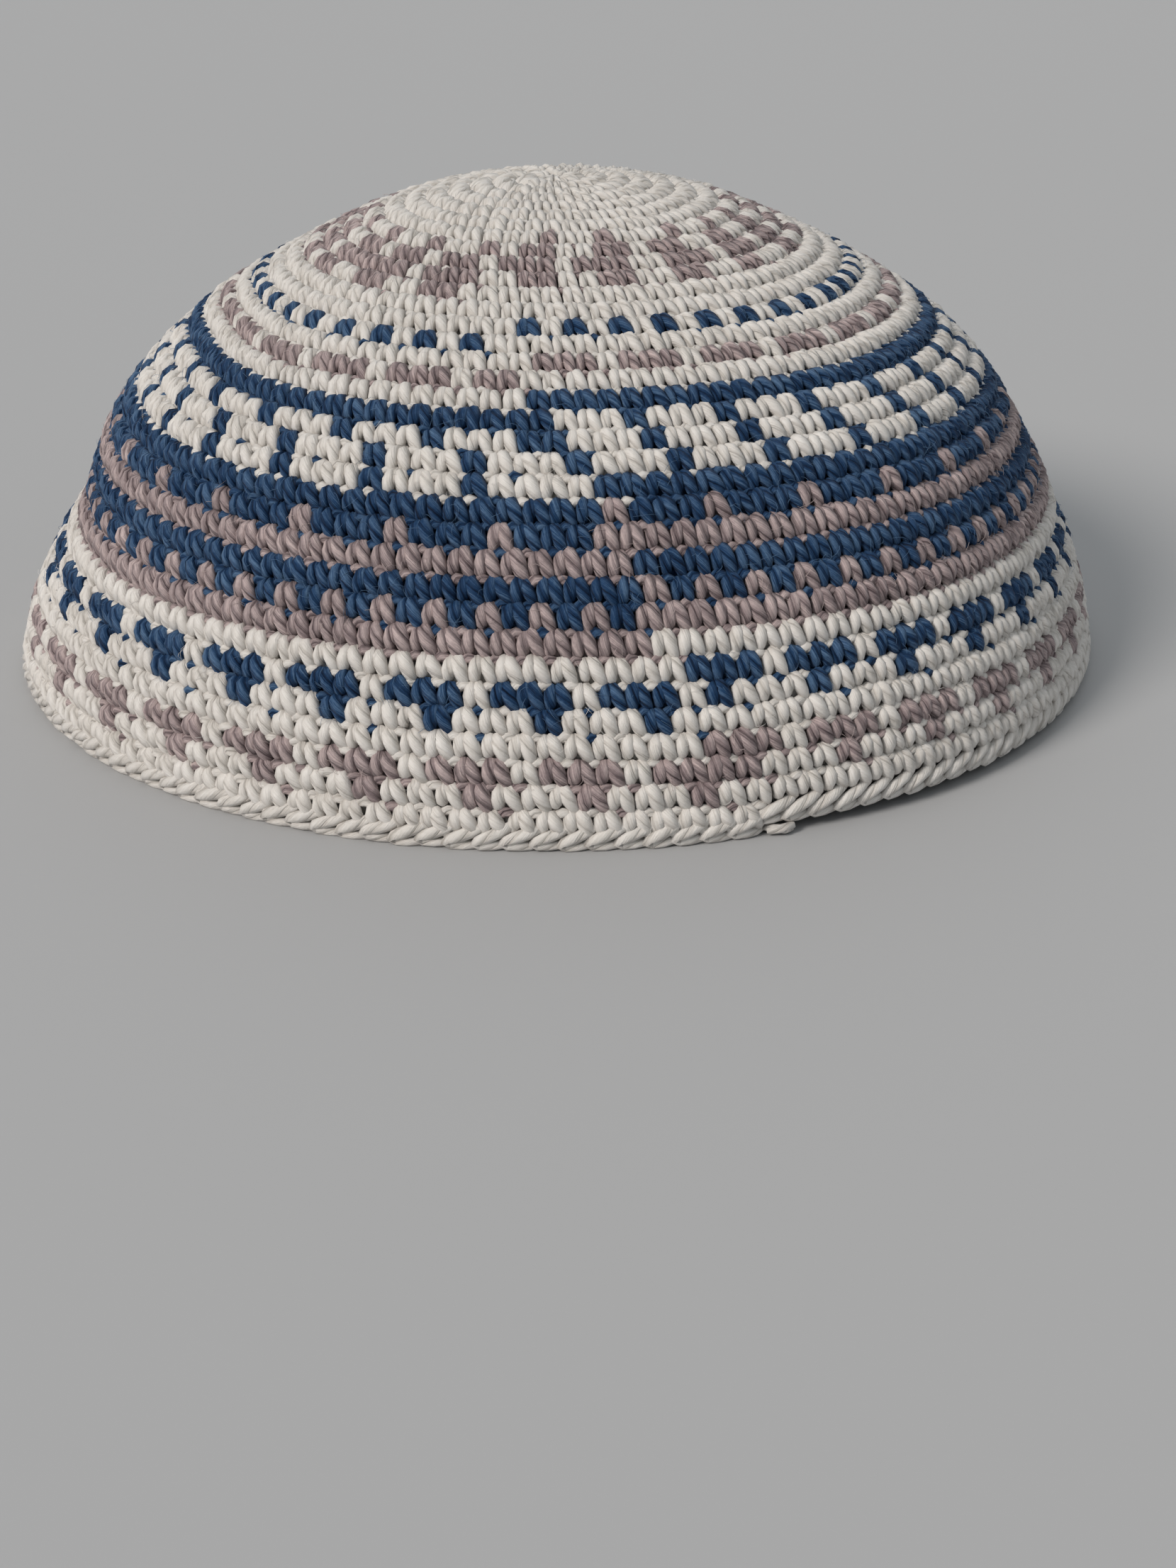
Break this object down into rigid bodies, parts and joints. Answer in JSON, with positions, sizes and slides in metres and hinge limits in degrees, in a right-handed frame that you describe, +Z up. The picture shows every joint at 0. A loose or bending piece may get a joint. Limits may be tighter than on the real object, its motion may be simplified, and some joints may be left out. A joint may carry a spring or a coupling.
{
  "type": "kippah skullcap",
  "caption": "Crocheted kippah: a round domed skullcap worked in a spiral of white, blue and mauve-grey cotton, with a slip-stitched edging and an open hollow for the head.",
  "frame": {"origin": "middle of the cap's footprint, on the surface that the rim rests on", "axes": "+Z up through the crown's centre, -Y towards the seam's side, +X to the wearer's side"},
  "size_m": [0.1312, 0.1297, 0.056],
  "materials": {
    "crochet_cotton": "white, navy blue and mauve-grey mercerised cotton yarn in single crochet",
    "edging_cotton": "white mercerised cotton yarn in slip stitch"
  },
  "bodies": {
    "root": {"crochet_body": "crochet_cotton", "edge_round": "edging_cotton", "end_knot": "edging_cotton"}
  },
  "joints": []
}
